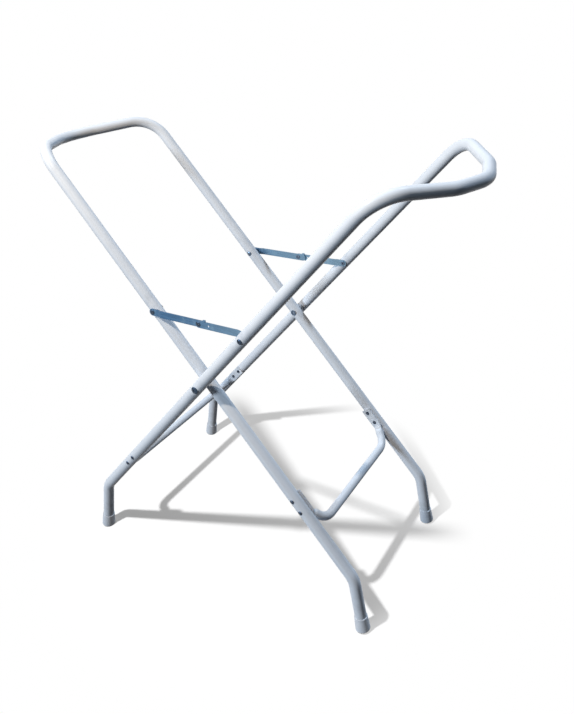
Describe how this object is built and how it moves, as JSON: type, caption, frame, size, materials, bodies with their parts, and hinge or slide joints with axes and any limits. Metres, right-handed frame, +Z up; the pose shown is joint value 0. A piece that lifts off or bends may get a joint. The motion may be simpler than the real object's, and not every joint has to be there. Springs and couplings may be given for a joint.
{
  "type": "baby bath stand",
  "caption": "Folding X-frame stand for a baby bath, with bent tube frames that end in outward loops, a riveted crossing, folding side braces, crossbars and capped feet.",
  "frame": {"origin": "on the floor under the middle of the open stand, at the centre of its bounding box in X and Y", "axes": "+X toward the outer frame's top loop (the stand's length), +Y toward the stand's left side (its width), +Z up"},
  "size_m": [0.9136, 0.4016, 0.847],
  "materials": {
    "frame_paint": "white powder coat, smooth, semi-gloss",
    "zinc_steel": "bright zinc plating with a bluish cast",
    "foot_plastic": "moulded pale grey polyethylene, matt",
    "nylon": "natural nylon"
  },
  "bodies": {
    "outer": {"outer_frame": "frame_paint", "outer_crossbar": "frame_paint", "outer_foot_left": "foot_plastic", "outer_foot_right": "foot_plastic", "outer_crossbar_rivets": "zinc_steel", "pivot_rivet_left": "zinc_steel", "pivot_rivet_right": "zinc_steel", "pivot_spacer_left": "nylon", "pivot_spacer_right": "nylon", "outer_brace_rivet_left": "zinc_steel", "outer_brace_rivet_right": "zinc_steel"},
    "inner": {"inner_frame": "frame_paint", "inner_crossbar": "frame_paint", "inner_foot_left": "foot_plastic", "inner_foot_right": "foot_plastic", "inner_crossbar_rivets": "zinc_steel", "inner_brace_rivet_left": "zinc_steel", "inner_brace_rivet_right": "zinc_steel"},
    "outer_link_left": {"outer_link_left": "zinc_steel"},
    "inner_link_left": {"inner_link_left": "zinc_steel", "link_rivet_left": "zinc_steel", "inner_rivet_tail_left": "zinc_steel"},
    "outer_link_right": {"outer_link_right": "zinc_steel"},
    "inner_link_right": {"inner_link_right": "zinc_steel", "link_rivet_right": "zinc_steel", "inner_rivet_tail_right": "zinc_steel"}
  },
  "joints": [
    {"name": "fold", "type": "hinge", "parent": "outer", "child": "inner", "pos_m": [0.00123, 0, 0.432], "axis": [0, 1, 0], "range_deg": [0, 77]},
    {"name": "outer_link_left_turn", "type": "hinge", "parent": "outer", "child": "outer_link_left", "pos_m": [0.10839, 0.172, 0.55747], "axis": [0, 1, 0], "range_deg": [0, 126]},
    {"name": "inner_link_left_turn", "type": "hinge", "parent": "outer_link_left", "child": "inner_link_left", "pos_m": [0.00357, 0.172, 0.55408], "axis": [0, 1, 0], "range_deg": [-172, 0]},
    {"name": "outer_link_right_turn", "type": "hinge", "parent": "outer", "child": "outer_link_right", "pos_m": [0.10839, -0.172, 0.55747], "axis": [0, 1, 0], "range_deg": [0, 126]},
    {"name": "inner_link_right_turn", "type": "hinge", "parent": "outer_link_right", "child": "inner_link_right", "pos_m": [0.00357, -0.172, 0.55408], "axis": [0, 1, 0], "range_deg": [-172, 0]}
  ],
  "couplings": [
    {"joint": "outer_link_left_turn", "follows": "fold", "ratio": 1.6254},
    {"joint": "inner_link_left_turn", "follows": "fold", "ratio": -2.2256},
    {"joint": "outer_link_right_turn", "follows": "fold", "ratio": 1.6254},
    {"joint": "inner_link_right_turn", "follows": "fold", "ratio": -2.2256}
  ]
}
